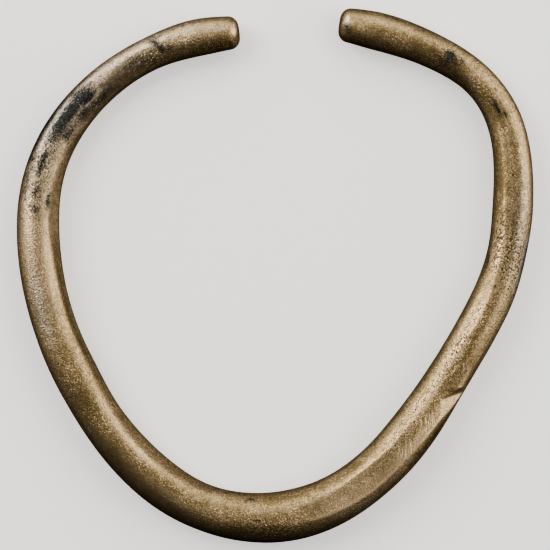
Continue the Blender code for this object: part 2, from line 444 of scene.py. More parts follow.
@dataclass(frozen=True)
class TarnishedSilver:
    """Forged silver, long buried and handled: dull, warm and dark in its hollows.

    A thin brown tarnish over rubbed metal gives broad soft highlights in cream and brown, and there
    are painted highlights and painted shade in its colour too. A fine grain of etched crystals
    covers it, with the glints of its largest crystals painted in, small black pits and black
    sulphide.
    Patterns are in mm of the straight rod, so that they follow its bends.
    """

    rubbed: str = "fcdfb5"      # warm cream, where handling keeps the metal bright, and the colour of the painted highlights
    tarnish: str = "a18d66"     # yellow-brown film on most of the rod
    patina_and_painted_shade: str = "5f574a"      # dull grey-brown, where the film is thickest, and the colour of the painted shade
    bloom: str = "cfcbc6"       # cools the metal to grey round the sulphide
    film: str = "ece6d2"        # warms the reflections a little at glancing angles
    crust: str = "564833"       # dark brown of the pits and specks
    soot: str = "4d4c48"        # grey-black of the sulphide
    ash: str = "83817d"         # paler grains in the sulphide
    metal: float = 0.8          # the tarnish scatters the rest of the light
    dull_roughness: float = 0.48        # broad, weak highlights on the film
    rubbed_roughness: float = 0.34      # tighter ones on bare metal
    shine_start: float = 0.2    # bareness from which the metal gets smoother

    # The bareness is a sum of the tone and crest layers, clouds, mottle and file marks. The tone
    # layer
    # # holds painted highlights and painted shade as well as wear and tarnish.
    cloud_strength: float = 0.6
    mottle_strength: float = 1.0
    film_ramp: Ramp = Ramp(-0.3, 0.3)   # from thick patina, and painted shade, to thin tarnish
    bare_ramp: Ramp = Ramp(0.3, 1.55)   # from tarnish to rubbed metal and painted highlights
    most_bare: float = 1.25     # past 1, so that the grain hardly darkens the brightest metal

    # The grain lightens and darkens the metal, and is raised as a bump. Its largest crystals are
    # # raised too, and their glints are painted into the colour.
    grain_contrast: float = 1.9
    grain_offset: float = -1.05         # takes off the noise's mean and leaves room for glints
    grain_relief: float = 0.055         # mm of height that the bump gives the grain
    glint_ramp: Ramp = Ramp(0.55, 0.75)     # only the peaks of the noise glint
    # How much the painted glints lighten the colour.
    painted_glint_strength: float = 1.1
    glint_relief: float = 0.5           # this and the reliefs below are shares of the grain's
    clump_ramp: Ramp = Ramp(0.38, 0.64)     # glints gather where the clouds are bright
    clump_strength: Ramp = Ramp(0.4, 1.6)

    # The file marks are fine parallel strokes of bare metal.
    file_angle: float = 40.0    # degrees that the file marks lean across the rod
    file_spacing: float = 0.22  # mm, also coarser than real strokes
    file_length: float = 2.6    # mm
    file_ramp: Ramp = Ramp(0.56, 0.76)      # only the brightest strokes show
    file_strength: float = 1.4
    file_relief: float = 1.2

    # The pits and specks are small dark hollows, thickest on the right flank.
    pit_spacing: float = 0.42   # mm, a cell that holds one pit at the most
    pit_bar: float = 0.4        # the chance a cell has to pass to hold a pit
    pit_radius: float = 0.17    # of a cell, the largest
    pit_edge: float = 0.05      # of a cell, half the softness of a rim
    pit_relief: float = -1.5
    speck_reach: float = 0.26   # how far a full layer lifts the specks' noise
    speck_ramp: Ramp = Ramp(0.68, 0.80)
    speck_strength: float = 0.7
    speck_relief: float = -1.0

    # The sulphide is a ragged, ashy black over everything else.
    rag_strength: float = 1.6
    grain_bite: float = -1.0    # how far single crystals eat into a stain
    black_ramp: Ramp = Ramp(0.05, 0.95)
    ash_ramp: Ramp = Ramp(0.48, 0.85)

    def make(self) -> bpy.types.Material:
        """Make the finish.

        Returns:
            The material, which reads the layers of a rod's skin.
        """
        material = bpy.data.materials.new("forged_silver")
        material.use_nodes = True
        tree = material.node_tree
        shader = tree.nodes["Principled BSDF"]
        shader.inputs["Metallic"].default_value = self.metal
        shader.inputs["Specular Tint"].default_value = linear(self.film)
        canvas = self.stretch_canvas(tree)
        glints, grain_and_painted_glints = self.etch(canvas)
        strokes = self.file(canvas)
        pits, specks = self.pit(canvas)
        bareness_and_painted_light = self.wear(canvas, strokes)
        # The tone layer in the bareness holds painted highlights and painted shade: the shade pulls
        # the colour towards the patina and the tarnish, the highlights towards the cream.
        thin = add_node(tree, "MapRange", {"Value": bareness_and_painted_light, "From Min": self.film_ramp.low,
                                           "From Max": self.film_ramp.high}).outputs[0]
        bareness_and_painted_light = add_node(tree, "MapRange", {"Value": bareness_and_painted_light, "From Min": self.bare_ramp.low,
                                           "From Max": self.bare_ramp.high,
                                           "To Max": self.most_bare}).outputs[0]
        rough = add_node(tree, "MapRange", {"Value": bareness_and_painted_light, "From Min": self.shine_start,
                                            "To Min": self.dull_roughness,
                                            "To Max": self.rubbed_roughness}).outputs[0]
        tree.links.new(rough, shader.inputs["Roughness"])

        # The grain and the painted glints of its largest crystals lighten or darken the colour
        # below.
        # A Mix of colours has its share at input 0, its colours at 6 and 7, and output 2.
        bareness_and_painted_light = add_node(tree, "Math", {0: bareness_and_painted_light, 1: grain_and_painted_glints}, operation="ADD").outputs[0]
        dull = add_node(tree, "Mix", {0: thin, 6: linear(self.patina_and_painted_shade), 7: linear(self.tarnish)},
                        data_type="RGBA").outputs[2]
        metal = add_node(tree, "Mix", {0: bareness_and_painted_light, 6: dull, 7: linear(self.rubbed)},
                         data_type="RGBA").outputs[2]
        metal = add_node(tree, "Mix", {0: canvas.marks["bloom"], 6: metal, 7: linear(self.bloom)},
                         data_type="RGBA", blend_type="COLOR").outputs[2]
        crusted = add_node(tree, "Math", {0: pits, 1: specks}, operation="MAXIMUM").outputs[0]
        metal = add_node(tree, "Mix", {0: crusted, 6: metal, 7: linear(self.crust)},
                         data_type="RGBA").outputs[2]
        tree.links.new(self.blacken(canvas, metal), shader.inputs["Base Color"])

        grain = canvas.noises[Pattern.GRAIN]
        height = add_node(tree, "Math", {0: glints, 1: self.glint_relief, 2: grain},
                          operation="MULTIPLY_ADD").outputs[0]
        height = add_node(tree, "Math", {0: height, 1: canvas.marks["etch"]},
                          operation="MULTIPLY").outputs[0]
        for mark, relief in ((strokes, self.file_relief), (pits, self.pit_relief),
                             (specks, self.speck_relief)):
            height = add_node(tree, "Math", {0: mark, 1: relief, 2: height},
                              operation="MULTIPLY_ADD").outputs[0]
        bump = add_node(tree, "Bump", {"Height": height, "Distance": self.grain_relief * MM,
                                       "Strength": 1.0}).outputs[0]
        tree.links.new(bump, shader.inputs["Normal"])
        return material

    @staticmethod
    def stretch_canvas(tree: bpy.types.NodeTree) -> Canvas:
        """Add what the finish is drawn from.

        Args:
            tree: the material's nodes.

        Returns:
            The rod's own space, the skin's layers and the noises.
        """
        rod = add_node(tree, "Attribute", attribute_name="rod").outputs["Vector"]
        marks = {name: add_node(tree, "Attribute", attribute_name=name).outputs["Fac"]
                 for name in Skin.LAYERS}
        noises = {}
        for pattern in Pattern:
            size, detail, roughness = pattern.value
            noises[pattern] = add_node(tree, "TexNoise", {
                "Vector": rod, "Scale": 1.0 / size, "Detail": detail, "Roughness": roughness,
            }).outputs[0]
        return Canvas(tree, rod, marks, noises)

    def etch(self, canvas: Canvas) -> tuple[Socket, Socket]:
        """Etch the grain all over, and paint the glints of its largest crystals into the colour in
        clumps.

        Args:
            canvas: where it is drawn.

        Returns:
            The glints, and how much the painted glints and the grain lighten or darken the colour.
        """
        tree = canvas.tree
        glints = add_node(tree, "MapRange", {
            "Value": canvas.noises[Pattern.GLINTS],
            "From Min": self.glint_ramp.low, "From Max": self.glint_ramp.high,
        }).outputs[0]
        clumps = add_node(tree, "MapRange", {
            "Value": canvas.noises[Pattern.CLOUDS],
            "From Min": self.clump_ramp.low, "From Max": self.clump_ramp.high,
            "To Min": self.clump_strength.low, "To Max": self.clump_strength.high,
        }).outputs[0]
        glints = add_node(tree, "Math", {0: glints, 1: clumps}, operation="MULTIPLY").outputs[0]
        grain_and_painted_glints = add_node(tree, "Math", {0: canvas.noises[Pattern.GRAIN], 1: self.grain_contrast,
                                          2: self.grain_offset},
                           operation="MULTIPLY_ADD").outputs[0]
        grain_and_painted_glints = add_node(tree, "Math", {0: glints, 1: self.painted_glint_strength, 2: grain_and_painted_glints},
                           operation="MULTIPLY_ADD").outputs[0]
        grain_and_painted_glints = add_node(tree, "Math", {0: grain_and_painted_glints, 1: canvas.marks["etch"]},
                           operation="MULTIPLY").outputs[0]
        return glints, grain_and_painted_glints

    def file(self, canvas: Canvas) -> Socket:
        """Draw the file marks: noise drawn out across the rod.

        Args:
            canvas: where they are drawn.

        Returns:
            Their strength.
        """
        tree = canvas.tree
        turned = add_node(tree, "VectorRotate", {"Vector": canvas.rod,
                                                 "Angle": math.radians(self.file_angle)},
                          rotation_type="Z_AXIS").outputs[0]
        scale = (1.0 / self.file_length, 1.0 / self.file_spacing, 0.0)
        drawn = add_node(tree, "VectorMath", {0: turned, 1: scale},
                         operation="MULTIPLY").outputs[0]
        strokes = add_node(tree, "TexNoise", {"Vector": drawn, "Scale": 1.0, "Detail": 0.0}
                           ).outputs[0]
        strokes = add_node(tree, "MapRange", {"Value": strokes, "From Min": self.file_ramp.low,
                                              "From Max": self.file_ramp.high}).outputs[0]
        return add_node(tree, "Math", {0: strokes, 1: canvas.marks["filed"]},
                        operation="MULTIPLY").outputs[0]

    def pit(self, canvas: Canvas) -> tuple[Socket, Socket]:
        """Pit the metal, and lay ragged dark specks of crust on it.

        Args:
            canvas: where they are drawn.

        Returns:
            The pits, each with its own size, and the specks.
        """
        tree = canvas.tree
        cells = add_node(tree, "TexVoronoi", {"Vector": canvas.rod,
                                              "Scale": 1.0 / self.pit_spacing})
        chance = add_node(tree, "SeparateColor", {0: cells.outputs["Color"]}).outputs[0]
        size = add_node(tree, "Math", {0: chance, 1: canvas.marks["pitting"], 2: -self.pit_bar},
                        operation="MULTIPLY_ADD").outputs[0]
        size = add_node(tree, "Math", {0: size, 1: self.pit_radius}, operation="MINIMUM"
                        ).outputs[0]
        pits = add_node(tree, "Math", {0: size, 1: cells.outputs["Distance"]},
                        operation="SUBTRACT").outputs[0]
        pits = add_node(tree, "MapRange", {"Value": pits, "From Min": -self.pit_edge,
                                           "From Max": self.pit_edge}).outputs[0]
        specks = add_node(tree, "Math", {0: canvas.marks["speckle"], 1: self.speck_reach,
                                         2: canvas.noises[Pattern.SPECKS]},
                          operation="MULTIPLY_ADD").outputs[0]
        specks = add_node(tree, "MapRange", {"Value": specks, "From Min": self.speck_ramp.low,
                                             "From Max": self.speck_ramp.high,
                                             "To Max": self.speck_strength}).outputs[0]
        return pits, specks

    def wear(self, canvas: Canvas, strokes: Socket) -> Socket:
        """Work out how much of the metal shows through the tarnish, painted highlights and shade
        included.

        Args:
            canvas: where it is drawn.
            strokes: the file marks, which strip the tarnish from the metal.

        Returns:
            The bareness, with the painted highlights and shade.
        """
        bareness_and_painted_light = canvas.marks["tone"]
        for pattern, strength in ((canvas.noises[Pattern.CLOUDS], self.cloud_strength),
                                  (canvas.noises[Pattern.MOTTLE], self.mottle_strength),
                                  (strokes, self.file_strength)):
            bareness_and_painted_light = add_node(canvas.tree, "Math", {0: pattern, 1: strength, 2: bareness_and_painted_light},
                            operation="MULTIPLY_ADD").outputs[0]
        return add_node(canvas.tree, "Math", {0: bareness_and_painted_light, 1: canvas.marks["crest"]}, operation="ADD"
                        ).outputs[0]

    def blacken(self, canvas: Canvas, metal: Socket) -> Socket:
        """Lay black sulphide over the metal, its edge broken up by rags and by the grain.

        Args:
            canvas: where it is drawn.
            metal: the colour of the metal below.

        Returns:
            The finished colour.
        """
        tree = canvas.tree
        grain = canvas.noises[Pattern.GRAIN]
        black = canvas.marks["sulphide"]
        for pattern, strength in ((canvas.noises[Pattern.RAGS], self.rag_strength),
                                  (grain, self.grain_bite)):
            black = add_node(tree, "Math", {0: pattern, 1: strength, 2: black},
                             operation="MULTIPLY_ADD").outputs[0]
        black = add_node(tree, "MapRange", {"Value": black, "From Min": self.black_ramp.low,
                                            "From Max": self.black_ramp.high}).outputs[0]
        ash = add_node(tree, "MapRange", {"Value": grain, "From Min": self.ash_ramp.low,
                                          "From Max": self.ash_ramp.high}).outputs[0]
        sulphide = add_node(tree, "Mix", {0: ash, 6: linear(self.soot), 7: linear(self.ash)},
                            data_type="RGBA").outputs[2]
        return add_node(tree, "Mix", {0: black, 6: metal, 7: sulphide},
                        data_type="RGBA").outputs[2]


@dataclass(frozen=True)
class ForgedRod:
    """The bracelet's rod, from the straight blank to the bent and finished ring."""

    line: BentLine
    widths: Profile             # mm across the rod, seen from above
    heights: Profile            # height of the section as a share of its width
    lifts: Profile              # mm that the underside stands clear of the surface below
    flats: tuple[Flat, ...]
    cut: TestCut
    bearing_depth: float = 0.15     # mm that the underside is worn flat where it bears
    tip_rounding: float = 1.2   # mm, radius of the worn edge of each end face
    tip_lean: float = 4.0       # degrees that each end face leans back, so that it shows from above
    sides: int = 104            # points round the rod
    rings: int = 920            # rings of them along it
    ring_pace: tuple[tuple[float, float], ...] = (      # (share of the rings, mm travelled)
        (0.55, 102.0), (0.70, 122.5))                   # they lie closest at the test cut
    crowding: float = 0.25      # radians that the sides are drawn together on the upper half
    tip_hole: float = 0.03      # mm, radius of the last face that closes each end

    def survey(self, places: list[float]) -> list[Station]:
        """Walk along the bent rod and return its station at each place.

        Args:
            places: mm along the rod, in rising order.

        Returns:
            One station for each place, centred on the frame's box.
        """
        plan = Vector((0.0, 0.0, 0.0))
        last = 0.0
        stations = []
        for place in places:
            way = self.line.heading((last + place) / 2)
            plan += Vector((math.cos(way), math.sin(way), 0.0)) * (place - last)
            last = place
            way = self.line.heading(place)
            half_width = self.widths.at(place) / 2
            half_height = half_width * self.heights.at(place)
            height = half_height - self.bearing_depth + self.lifts.at(place)
            stations.append(Station(
                place=place,
                middle=plan + Vector((0.0, 0.0, height)),
                forward=Vector((math.cos(way), math.sin(way), 0.0)),
                outward=Vector((math.sin(way), -math.cos(way), 0.0)),
                half_width=half_width,
                half_height=half_height,
            ))
        shift = self.to_frame(stations)
        return [station._replace(middle=station.middle + shift) for station in stations]

    @staticmethod
    def to_frame(stations: list[Station]) -> Vector:
        """Find the move that centres the ring's plan on the frame's bracelet.

        Args:
            stations: the rod's stations, in rising order.

        Returns:
            The move in mm, level.
        """
        low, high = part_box("bracelet")
        edges = [station.middle + station.outward * station.half_width * side
                 for station in stations for side in (-1.0, 1.0)]
        shift = Vector((0.0, 0.0, 0.0))
        for axis in (0, 1):
            middle = (min(edge[axis] for edge in edges) + max(edge[axis] for edge in edges)) / 2
            shift[axis] = (low[axis] + high[axis]) / 2 / MM - middle
        return shift

    def travel_length(self) -> float:
        """Return the mm from the middle of one end face to the middle of the other."""
        return (self.line.length - 2 * self.tip_rounding + 2 * self.face_radius()
                + math.pi * self.tip_rounding)

    def face_radius(self) -> float:
        """Return the radius of the flat part of each end face, in mm."""
        return self.widths.at(0.0) / 2 - self.tip_rounding

    def over_tip(self, travel: float) -> tuple[float, float]:
        """Follow the skin from the middle of an end face, over its rounded edge and on.

        Args:
            travel: mm along the skin.

        Returns:
            The place along the rod, and how far the skin is inside its full section, in mm.
        """
        face = self.face_radius()
        if travel < face:
            return 0.0, self.tip_rounding + face - travel
        turn = (travel - face) / self.tip_rounding
        if turn < math.pi / 2:
            return (self.tip_rounding * (1.0 - math.cos(turn)),
                    self.tip_rounding * (1.0 - math.sin(turn)))
        return self.tip_rounding + travel - face - self.tip_rounding * math.pi / 2, 0.0

    def forge(self, station: Station, angle: float) -> Forged:
        """Return what forging leaves at one direction around the rod.

        Args:
            station: the place along the rod.
            angle: the direction around it, in radians.

        Returns:
            The distance from the rod's middle, and how bright it is rubbed.
        """
        area = station.half_width * station.half_height
        reach = area / math.hypot(station.half_height * math.cos(angle),
                                  station.half_width * math.sin(angle))
        crest = 0.0
        for flat in self.flats:
            limit = flat.limit(station, angle)
            softness = flat.softness.at(station.place)
            gap = abs(reach - limit)
            blend = max(1.0 - gap / softness, 0.0)
            rubbed = max(1.0 - gap / flat.rub_reach, 0.0)
            crest = max(crest, rubbed * flat.crest * flat.strength(station.place))
            reach = min(reach, limit) - blend * blend * softness / 4    # the edge is rounded
        return Forged(reach, crest)

    def draw_blank(self) -> bmesh.types.BMesh:
        """Draw the straight blank.

        Returns:
            A closed cylinder along Z, one unit high, cut into rings.
        """
        blank = bmesh.new()
        bmesh.ops.create_cone(blank, cap_ends=True, segments=self.sides, radius1=1.0, radius2=1.0,
                              depth=1.0)
        # Only the edges that run from one end to the other are cut.
        lengthwise = [edge for edge in blank.edges
                      if abs(edge.verts[0].co.z - edge.verts[1].co.z) > 0.5]
        bmesh.ops.subdivide_edges(blank, edges=lengthwise, cuts=self.rings - 2, use_grid_fill=True)
        return blank

    def ring_steps(self) -> list[tuple[float, float]]:
        """Spread the mesh's rings over the rod.

        Returns:
            The place along the rod and the inset of each ring, in mm.
        """
        whole = self.travel_length()
        spacing = Profile(((0.0, 0.0), *self.ring_pace, (1.0, whole)))
        steps = []
        for ring in range(self.rings):
            travel = min(max(spacing.at(ring / (self.rings - 1)), self.tip_hole),
                         whole - self.tip_hole)
            place, inset = self.over_tip(min(travel, whole - travel))
            steps.append((place if travel < whole / 2 else self.line.length - place, inset))
        return steps

    def lean_at(self, station: Station) -> float:
        """Find how far a section leans into the rod: fully at an end, and less over one width.

        Args:
            station: the section's place along the rod.

        Returns:
            The mm along the rod for each mm of height over the underside.
        """
        to_tip = min(station.place, self.line.length - station.place)
        into_rod = 1.0 if station.place < self.line.length / 2 else -1.0
        fade = 1.0 - eased(to_tip / (2.0 * station.half_width))
        return into_rod * math.tan(math.radians(self.tip_lean)) * fade

    def finish_point(self, station: Station, inset: float, angle: float,
                     skin: "Skin") -> tuple[Vector, SkinPoint, Forged]:
        """Forge, cut, hammer and bend one point of the skin.

        Args:
            station: its place along the rod.
            inset: mm that it is inside the full section, as the rounding of the tips is.
            angle: its direction around the rod, in radians.
            skin: the surface's hammer work.

        Returns:
            Where it ends up in mm, where it is on the straight rod, and what forging left there.
        """
        forged = self.forge(station, angle)
        share = 1.0 - inset / station.half_width
        reach = forged.reach * share
        cut = self.cut.limit(station.place, angle, reach)
        rod = Vector((station.place, reach * math.cos(angle), reach * math.sin(angle)))
        around = math.degrees(angle) + (0.0 if angle > -math.pi / 2 else 360.0)
        point = SkinPoint(station.place, around, rod)
        if cut < reach:
            forged = Forged(cut, self.cut.brightness)
        reach = cut + skin.hammer.height(point) * share
        upward = reach * math.sin(angle)
        lean = self.lean_at(station) * (upward + station.half_height)
        bent = station.point(lean, reach * math.cos(angle), upward)
        bent.z = max(bent.z, 0.0)       # worn flat where it bears on what it lies on
        return bent, point, forged

    def model(self, skin: "Skin") -> bmesh.types.BMesh:
        """Forge, bend and finish the whole rod.

        Args:
            skin: the hammer work and the marks of its surface.

        Returns:
            The finished mesh in metres, with its surface's layers.
        """
        blank = self.draw_blank()
        steps = self.ring_steps()
        stations = self.survey([place for place, inset in steps])
        rod_layer = blank.verts.layers.float_vector.new("rod")
        layers = {name: blank.verts.layers.float.new(name) for name in Skin.LAYERS}
        for vert in blank.verts:
            # The blank is one unit high, with its middle at 0.
            ring = round((vert.co.z + 0.5) * (self.rings - 1))
            angle = math.atan2(vert.co.y, vert.co.x)
            angle += self.crowding * math.cos(angle)
            bent, point, forged = self.finish_point(stations[ring], steps[ring][1], angle, skin)
            vert.co = bent * MM
            vert[rod_layer] = point.rod
            for name, value in skin.marks(point, forged).items():
                vert[layers[name]] = value
        bmesh.ops.recalc_face_normals(blank, faces=blank.faces)
        return blank

    def build(self, skin: "Skin", finish: TarnishedSilver) -> bpy.types.Object:
        """Make the rod's object and dress it.

        Args:
            skin: the hammer work and the marks of its surface.
            finish: what it is made of.

        Returns:
            The object, in the scene.
        """
        shape = self.model(skin)
        mesh = bpy.data.meshes.new("forged_rod")
        shape.to_mesh(mesh)
        shape.free()
        mesh.materials.append(finish.make())
        mesh.shade_smooth()
        piece = bpy.data.objects.new("forged_rod", mesh)
        bpy.context.scene.collection.objects.link(piece)
        return piece


@dataclass(frozen=True)
class Skin:
    """The rod's surface: hammer work, stains, pits, rubbing, file marks, painted highlights and
    shade.
    """

    LAYERS: ClassVar[tuple[str, ...]] = (
        "sulphide", "pitting", "speckle", "crest", "tone", "bloom", "filed", "etch")
    PLAIN_ETCH: ClassVar[float] = 0.7       # how strongly the grain shows where nothing is said
    STAIN_MARGIN: ClassVar[float] = 1.5     # mm past a stain's edge that its rags can reach

    hammer: HammerWork
    stains: Spots               # black sulphide
    pitting: Spots              # small pits
    speckles: Spots             # ragged dark specks
    tones: Spots                # lighter above 0, darker below: rubbed metal and painted highlights, tarnish and painted shade
    blooms: Spots               # the grey bloom round the sulphide
    filing: Spots               # file marks
    etching: Spots              # how much stronger or weaker the grain and its painted glints are than elsewhere

    def marks(self, point: SkinPoint, forged: Forged) -> dict[str, float]:
        """Read every layer at a point.

        Args:
            point: the point of the skin.
            forged: what forging left there.

        Returns:
            The value of each layer.
        """
        return {
            "sulphide": self.stains.cone(point),
            "pitting": self.pitting.peak(point),
            "speckle": self.speckles.peak(point),
            "crest": forged.crest,
            "tone": self.tones.sum(point),
            "bloom": self.blooms.peak(point),
            "filed": self.filing.peak(point),
            "etch": self.PLAIN_ETCH + self.etching.sum(point),
        }


class Panel(Enum):
    """The studio's soft panels: (azimuth, elevation) in degrees, and power in watts.

    Azimuth 0 is to the right of the ring and 90 past its mouth. No low panel stands between 180
    and 330, on the side away from the mouth, so the rod stays dark where it faces that way.
    """

    HIGH_LEFT = (150.0, 42.0, 1.36)
    HIGH_RIGHT = (0.0, 42.0, 0.74)
    HIGH_TOP = (60.0, 42.0, 0.46)
    OVERHEAD = (300.0, 65.0, 0.15)
    TOP = (90.0, 22.0, 0.36)
    LOW_RIGHT = (0.0, 6.0, 0.33)
    LOW_TOP_RIGHT = (30.0, 6.0, 0.62)
    LOW_TOP_LEFT = (120.0, 6.0, 0.37)
    LOW_LEFT = (150.0, 6.0, 0.20)
    LOW_SIDE = (180.0, 6.0, 0.24)
    LOW_FILL = (330.0, 6.0, 0.16)


@dataclass(frozen=True)
class Studio:
    """A plain pale floor, soft panels in a dark room and the camera above."""

    floor_colour: str = "e8e6e2"
    floor_size: float = 3.0     # m
    floor_light: float = 0.5    # keeps the floor pale under panels that are dim enough for metal
    floor_roughness: float = 0.9        # matt paint
    distance: float = 0.6       # m from the ring to each panel
    panel_size: float = 0.42    # m, each panel's side
    look: str = "AgX - Very High Contrast"      # bright crests against near-black sides
    lens: float = 250.0         # mm, long, so that the ring is seen with hardly any perspective
    sensor: float = 36.0        # mm
    margin: float = 0.971       # share of the view that the ring's longer side takes

    def add_floor(self) -> None:
        """Lay the floor."""
        plane = bmesh.new()
        bmesh.ops.create_grid(plane, x_segments=1, y_segments=1, size=self.floor_size / 2)
        mesh = bpy.data.meshes.new("floor")
        plane.to_mesh(mesh)
        plane.free()
        floor = bpy.data.objects.new("floor", mesh)
        bpy.context.scene.collection.objects.link(floor)
        material = bpy.data.materials.new("painted_board")
        material.use_nodes = True
        shader = material.node_tree.nodes["Principled BSDF"]
        shader.inputs["Base Color"].default_value = linear(self.floor_colour)
        shader.inputs["Roughness"].default_value = self.floor_roughness
        shader.inputs["Emission Color"].default_value = linear(self.floor_colour)
        shader.inputs["Emission Strength"].default_value = self.floor_light
        mesh.materials.append(material)
        # Metal in a dark room: the floor is seen by the camera, but it isn't mirrored in the rod,
        # throws no light up at it and doesn't hide the lower halves of the low panels.
        floor.visible_glossy = False
        floor.visible_diffuse = False
        floor.visible_shadow = False

    def add_lights(self) -> None:
        """Hang the soft panels, all aimed at the ring, and set the tone of the picture."""
        for panel in Panel:
            azimuth, elevation, power = panel.value
            turn, tilt = math.radians(azimuth), math.radians(elevation)
            way = Vector((math.cos(turn) * math.cos(tilt), math.sin(turn) * math.cos(tilt),
                          math.sin(tilt)))
            lamp = bpy.data.lights.new("panel_" + panel.name.lower(), "AREA")
            lamp.shape = "SQUARE"
            lamp.size = self.panel_size
            lamp.energy = power
            light = bpy.data.objects.new(lamp.name, lamp)
            light.location = way * self.distance
            light.rotation_euler = way.to_track_quat("Z", "Y").to_euler()
            light.visible_camera = False
            bpy.context.scene.collection.objects.link(light)
        bpy.context.scene.view_settings.look = self.look

    def add_camera(self) -> None:
        """Set the camera straight above the ring, at the distance that frames it."""
        low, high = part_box("bracelet")
        view = (high[1] - low[1]) / self.margin
        lens = bpy.data.cameras.new("camera")
        lens.lens = self.lens
        lens.sensor_width = self.sensor
        camera = bpy.data.objects.new("camera", lens)
        camera.location = ((low[0] + high[0]) / 2, (low[1] + high[1]) / 2,
                           high[2] / 2 + view * self.lens / self.sensor)
        bpy.context.scene.collection.objects.link(camera)
        bpy.context.scene.camera = camera


def bracelet_rod() -> ForgedRod:
    """Describe this bracelet's rod.

    Returns:
        The rod, with the bends, widths, heights, lifts and flats of the frame's bracelet.
    """
    line = BentLine(
        first_heading=186.5,
        bends=(
            (3.5, 1.0), (5.5, 12.0), (17.0, 37.5), (11.0, 30.5),      # left arm and shoulder
            (20.0, 29.5), (5.0, 2.5), (14.0, 23.0),                   # left flank
            (25.0, 71.5), (9.0, 17.5),                                # the round at the bottom
            (6.0, 5.5), (10.0, 3.0), (4.0, 4.0),                      # nearly straight lower right
            (5.0, 10.0), (6.0, 10.5), (6.0, 6.5), (4.0, 8.5),         # the kink and right flank
            (4.0, 15.5), (8.0, 34.0),                                 # the tight right shoulder
            (3.0, 4.5), (5.0, 8.5), (8.0, 10.0),                      # right arm
        ),
        ease=4.0,
    )
    return ForgedRod(
        line=line,
        widths=Profile((
            (0.0, 4.0), (5.0, 4.6), (12.0, 4.2), (20.0, 4.45), (30.0, 4.85), (38.0, 5.3),
            (50.0, 5.4), (58.0, 5.65), (64.0, 5.5), (74.0, 5.85), (82.0, 5.8), (93.0, 6.35),
            (104.0, 6.0), (112.0, 5.9), (120.0, 5.3), (131.0, 5.2), (137.0, 4.9), (143.0, 5.05),
            (152.0, 4.6), (160.0, 4.1), (167.0, 4.4), (174.0, 4.75), (line.length, 4.1))),
        heights=Profile((
            (0.0, 0.94), (40.0, 0.93), (90.0, 0.88), (120.0, 0.96), (150.0, 0.95),
            (line.length, 0.95))),
        lifts=Profile((
            (0.0, 0.7), (14.0, 0.25), (26.0, 0.0), (50.0, 0.0), (64.0, 0.2), (78.0, 0.0),
            (104.0, 0.0), (118.0, 0.2), (130.0, 0.0), (150.0, 0.0), (164.0, 0.25),
            (line.length, 0.6))),
        flats=(
            # The inner side of the left flank, down to the bottom.
            Flat(Profile(((26.0, 150.0), (38.0, 148.0), (46.0, 157.0), (60.0, 155.0), (70.0, 150.0),
                          (82.0, 152.0))),
                 Profile(((26.0, 0.0), (31.0, 0.16), (38.0, 0.32), (46.0, 0.23), (60.0, 0.25),
                          (70.0, 0.32), (76.0, 0.20), (82.0, 0.0))),
                 Profile(((26.0, 0.3), (36.0, 0.18), (52.0, 0.18), (62.0, 0.3), (82.0, 0.35)))),
            # The filed flat that runs from the bottom up to the test cut, with a rubbed crest.
            Flat(Profile(((84.0, 92.0), (96.0, 92.0), (100.0, 89.5), (104.0, 87.0), (108.0, 85.0),
                          (112.0, 81.0), (116.0, 75.0), (123.0, 66.0))),
                 Profile(((84.0, 0.0), (92.0, 0.09), (96.0, 0.18), (100.0, 0.25), (104.0, 0.30),
                          (108.0, 0.26), (112.0, 0.27), (116.0, 0.33), (119.0, 0.33),
                          (123.0, 0.0))),
                 Profile(((84.0, 0.3), (96.0, 0.15), (106.0, 0.05), (123.0, 0.05))), crest=1.0),
            # The top of the right flank.
            Flat(Profile(((113.0, 89.0), (126.0, 90.0), (134.0, 87.0), (146.0, 92.0),
                          (158.0, 92.0))),
                 Profile(((113.0, 0.0), (118.0, 0.13), (122.0, 0.11), (129.0, 0.06),
                          (136.0, 0.10), (145.0, 0.13), (153.0, 0.11), (158.0, 0.0))),
                 Profile(((113.0, 0.05), (136.0, 0.05), (144.0, 0.1), (158.0, 0.1)))),
            # A narrow facet beside it, towards the inside.
            Flat(Profile(((106.0, 117.0), (122.0, 116.0), (134.0, 111.0))),
                 Profile(((106.0, 0.0), (112.0, 0.03), (120.0, 0.03), (129.0, 0.13), (135.0, 0.0))),
                 Profile(((106.0, 0.05), (134.0, 0.05)))),
        ),
        cut=TestCut(),
    )


